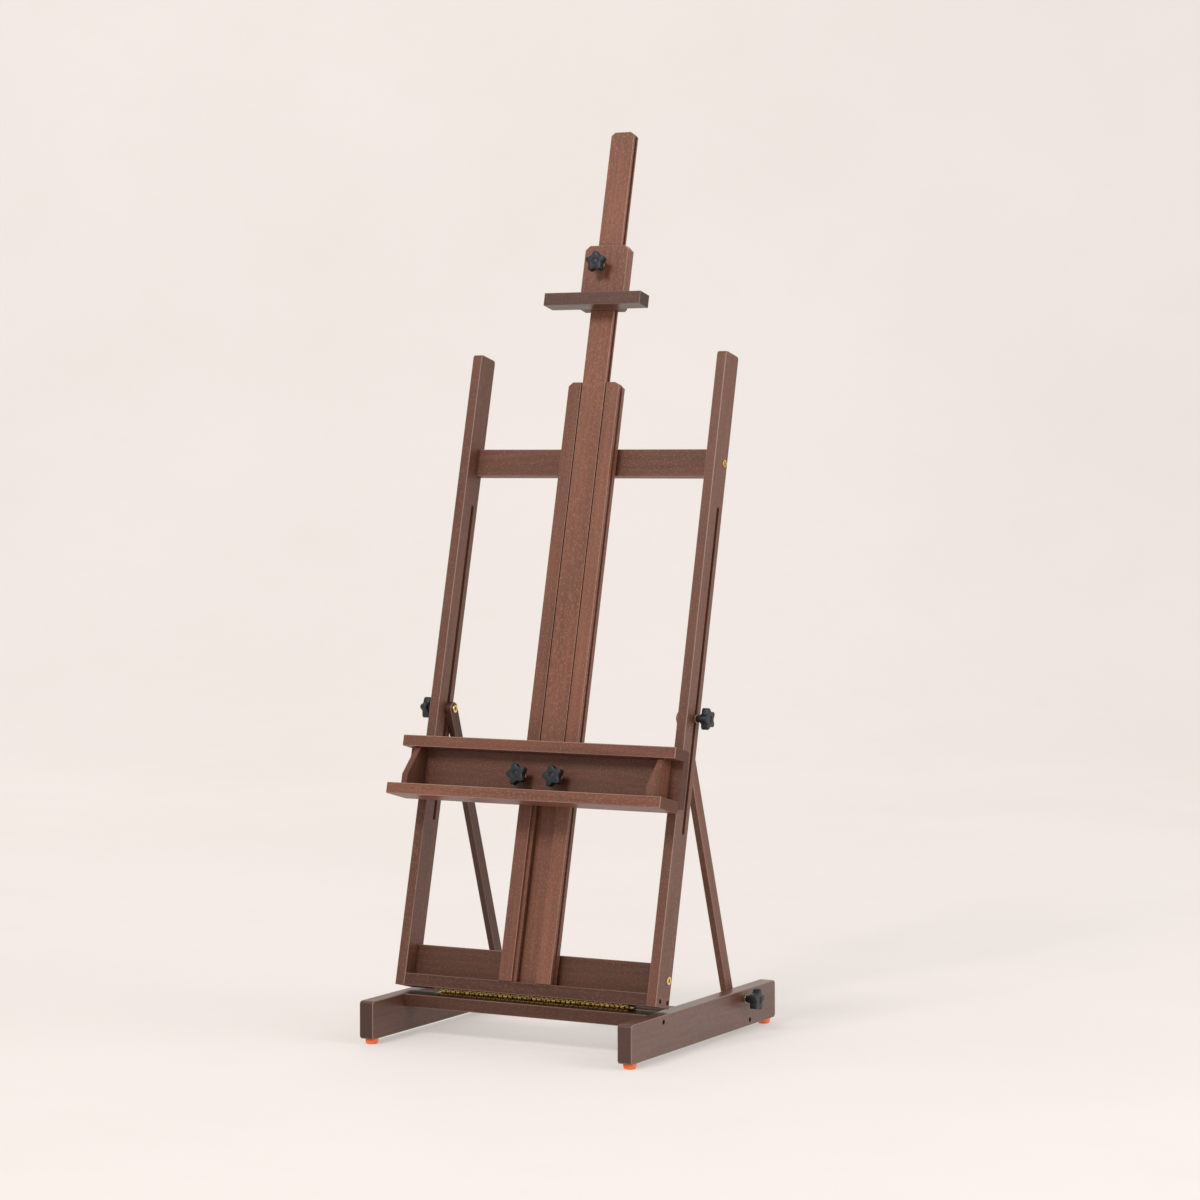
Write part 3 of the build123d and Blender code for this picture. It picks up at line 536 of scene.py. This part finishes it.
def side_fasteners(node, body, slot, material, sizes, reach, inward=False):
    """Replaces bolts or screws that run across the easel; their heads face outward unless inward is set."""

    def shape(surface):
        for low, high in solid_boxes(node):
            middle = (low + high) / 2
            side = math.copysign(1.0, middle.x) * (-1 if inward else 1)
            face = Vector((high.x if side > 0 else low.x, middle.y, middle.z))
            headed(surface, seat_matrix(face, ACROSS * side), (high.x - low.x) / MM, sizes, reach)

    place_piece(add_object(f"{node}_turned", shape, material), body, slot, node)


def hinge_fasteners(node, body, outward, material):
    """Replaces the countersunk screws of one hinge leaf; a leaning leaf's box is deeper than its screws."""

    def shape(surface):
        for low, high in solid_boxes(node):
            middle = (low + high) / 2
            half = (high - low).z / 2 if outward.z > 0.99 else HINGE_LEAF_HALF * MM
            place = seat_matrix(middle + outward * half, outward)
            headed(surface, place, HINGE_SCREW_LENGTH, HINGE_SCREW, cross_reach)

    place_piece(add_object(f"{node}_turned", shape, material), body, "brass", node)


def rubber_foot(surface, low, high):
    """Moulded foot that narrows to a flat tread on the floor."""
    radius = (high.x - low.x) / MM / 2
    height = (high.z - low.z) / MM
    profile = [(radius - 3.6, 0.0), (radius - 2.4, 0.3), (radius - 1.2, 1.4), (radius - 0.4, 3.4)]
    profile += [(radius, 6.0), (radius, height - 0.5), (radius - 0.5, height)]
    place = Matrix.Translation(((low.x + high.x) / 2, (low.y + high.y) / 2, low.z))
    add_rings(surface, lathe_rings(profile, FOOT_SEGMENTS, place))


def rubber_feet(material):
    def shape(surface):
        for low, high in solid_boxes("rubber_feet"):
            rubber_foot(surface, low, high)

    feet = add_object("rubber_feet_moulded", shape, material, FOOT_SMOOTH)
    place_piece(feet, "base", "orange_rubber", "rubber_feet")


# ---------------------------------------------------------------- boards

stay_low = Vector(joints["stay_left_fold"]["pos_m"])
stay_high = Vector(joints["stay_head_knob_left_turn"]["pos_m"])
ALONG_STAY = Vector((0, stay_high.y - stay_low.y, stay_high.z - stay_low.z)).normalized()
LEVEL = Vector((0, 1, 0))
ZENITH = Vector((0, 0, 1))

# Grain direction, the way the widest side faces, how light the stain is and how glossy the lacquer
BOARDS = {
    "runner_left": (LEVEL, ACROSS, 0.50, 0.5),
    "runner_right": (LEVEL, ACROSS, 0.58, 0.75),
    "front_plank": (ACROSS, ZENITH, 0.42, 0.1),
    "rear_bar": (ACROSS, ZENITH, 0.55, 0.2),
    "upright_left": (UP, ACROSS, 0.72, 0.3),
    "upright_right": (UP, ACROSS, 0.75, 0.35),
    "top_rail": (ACROSS, BACK, 0.74, 0.2),
    "bottom_board": (ACROSS, BACK, 0.54, 0.1),
    "foot_rail": (ACROSS, BACK, 0.46, 0.1),
    "column_strip_left": (UP, BACK, 0.88, 0.2),
    "column_strip_right": (UP, BACK, 1.10, 0.2),
    "column_back": (UP, BACK, 1.00, 0.2),
    "mast": (UP, BACK, 1.06, 0.2),
    "canvas_ledge": (ACROSS, BACK, 0.84, 0.15),
    "tray_shelf": (ACROSS, BACK, 1.00, 0.15),
    "tray_back_board": (ACROSS, BACK, 0.70, 0.2),
    "tray_bracket_left": (UP, ACROSS, 0.66, 0.2),
    "tray_bracket_right": (UP, ACROSS, 0.85, 0.2),
    "tray_guide_left": (UP, BACK, 0.80, 0.2),
    "tray_guide_right": (UP, BACK, 0.80, 0.2),
    "clamp_block": (UP, BACK, 1.10, 0.3),
    "clamp_bar": (ACROSS, BACK, 0.44, 0.5),
    "stay_left": (ALONG_STAY, ACROSS, 0.40, 0.15),
    "stay_right": (ALONG_STAY, ACROSS, 0.82, 0.2),
}


def finish_node(name, material):
    """Gives a CAD node its material and smooth shading."""
    nodes[name].data.materials.clear()
    nodes[name].data.materials.append(material)
    soften(nodes[name].data, CAD_SMOOTH)


# Each board is cut from its own place in the wood, so no two share a figure
for index, (name, (grain, face, tone, gloss)) in enumerate(BOARDS.items()):
    shift = Vector((0.37 * index + 0.11, 0.053 * index, 0.029 * index))
    finish_node(name, stained_beech(f"beech_{name}", grain, face, shift, tone, gloss))

# ---------------------------------------------------------------- metal, rubber and knobs

BRASS = brass("polished_brass")
HINGE_BRASS = brass("hinge_brass", KNUCKLE_PITCH)
BLACK = black_plastic()
STEEL = dark_steel()
METAL_NODES = {
    HINGE_BRASS: ["hinge_leaf_lower", "hinge_leaf_upper", "hinge_pin"],
    STEEL: ["tray_knob_stud_left", "tray_knob_stud_right", "clamp_knob_stud", "mast_lock_stud"],
}
for material, names in METAL_NODES.items():
    for name in names:
        finish_node(name, material)

side_fasteners("base_screws", "base", "dark_steel", STEEL, WOOD_SCREW, cross_reach)
side_fasteners("frame_screws", "h_frame", "dark_steel", STEEL, WOOD_SCREW, cross_reach)
side_fasteners("frame_bolts", "h_frame", "brass", BRASS, FRAME_BOLT, hex_reach)
for side in SIDES:
    for node, body in ((f"stay_head_bolt_{side}", f"stay_{side}_body"), (f"stay_foot_bolt_{side}", "base")):
        side_fasteners(node, body, "brass", BRASS, STAY_BOLT, hex_reach, inward=True)
hinge_fasteners("hinge_screws_lower", "base", ZENITH, BRASS)
hinge_fasteners("hinge_screws_upper", "h_frame", UP * -1, BRASS)
rubber_feet(orange_rubber())

# How far each knob is turned at rest, in radians
KNOBS = {
    "tray_knob_left": ("tray_knob_left_turn", "tray_knob_left_body", 0.63),
    "tray_knob_right": ("tray_knob_right_turn", "tray_knob_right_body", 0.60),
    "clamp_knob": ("clamp_knob_turn", "clamp_knob_body", 0.38),
    "mast_lock_knob": ("mast_lock_turn", "mast_lock_body", 0.75),
    "stay_head_knob_left": ("stay_head_knob_left_turn", "stay_head_knob_left_body", 0.2),
    "stay_head_knob_right": ("stay_head_knob_right_turn", "stay_head_knob_right_body", 0.5),
    "stay_foot_knob_left": ("stay_foot_knob_left_turn", "stay_foot_knob_left_body", 0.9),
    "stay_foot_knob_right": ("stay_foot_knob_right_turn", "stay_foot_knob_right_body", 0.15),
}
for name, (joint, body, spin) in KNOBS.items():
    star_knob(name, body, joint, spin, BLACK, BRASS)

# ---------------------------------------------------------------- floor, light and camera


def cyclorama():
    """Floor that curves up smoothly into a wall behind the easel."""
    profile = [(FLOOR_FRONT, 0.0), (FLOOR_BACK, 0.0)]
    for step in range(1, BEND_STEPS + 1):
        angle = math.radians(90 * step / BEND_STEPS)
        profile.append((FLOOR_BACK + BEND_RADIUS * math.sin(angle), BEND_RADIUS * (1 - math.cos(angle))))
    profile.append((FLOOR_BACK + BEND_RADIUS, WALL_TOP))
    turn = Matrix.Rotation(CAMERA_AZIMUTH, 4, "Z")

    def shape(surface):
        columns = []
        for x in (-FLOOR_HALF_WIDTH, FLOOR_HALF_WIDTH):
            columns.append([surface.verts.new(turn @ Vector((x, y, z))) for y, z in profile])
        for i in range(len(profile) - 1):
            surface.faces.new((columns[0][i], columns[1][i], columns[1][i + 1], columns[0][i + 1]))

    return add_object("studio_floor", shape, pale_floor(), FLOOR_SMOOTH)


def area_light(name, place, target, size, power, colour):
    data = bpy.data.lights.new(name, "AREA")
    data.shape = "RECTANGLE"
    data.size, data.size_y = size
    data.energy = power
    data.color = colour
    light = bpy.data.objects.new(name, data)
    light.location = place
    light.rotation_mode = "QUATERNION"
    light.rotation_quaternion = (Vector(target) - Vector(place)).to_track_quat("-Z", "Y")
    bpy.context.scene.collection.objects.link(light)


floor = cyclorama()
for name, settings in LIGHTS.items():
    area_light(name, *settings)

world = bpy.data.worlds.new("studio")
bpy.context.scene.world = world
world.use_nodes = True
background = world.node_tree.nodes["Background"]
background.inputs["Color"].default_value = SKY
background.inputs["Strength"].default_value = SKY_STRENGTH

camera_data = bpy.data.cameras.new("camera")
camera_data.sensor_width = 36.0
camera_data.lens = CAMERA_LENS
camera_data.shift_y = CAMERA_SHIFT_UP
camera = bpy.data.objects.new("camera", camera_data)
forward = Vector((-math.sin(CAMERA_AZIMUTH) * math.cos(CAMERA_PITCH),
                  math.cos(CAMERA_AZIMUTH) * math.cos(CAMERA_PITCH),
                  math.sin(CAMERA_PITCH)))
level = Vector((math.cos(CAMERA_AZIMUTH), math.sin(CAMERA_AZIMUTH), 0))
upright = level.cross(forward)
right_hand = level * math.cos(CAMERA_ROLL) + upright * math.sin(CAMERA_ROLL)
overhead = upright * math.cos(CAMERA_ROLL) - level * math.sin(CAMERA_ROLL)
aim = Matrix((right_hand, overhead, -forward)).transposed().to_4x4()
camera.matrix_world = Matrix.Translation(CAMERA_PLACE) @ aim
bpy.context.scene.collection.objects.link(camera)
bpy.context.scene.camera = camera

bpy.context.scene.view_settings.view_transform = "Standard"
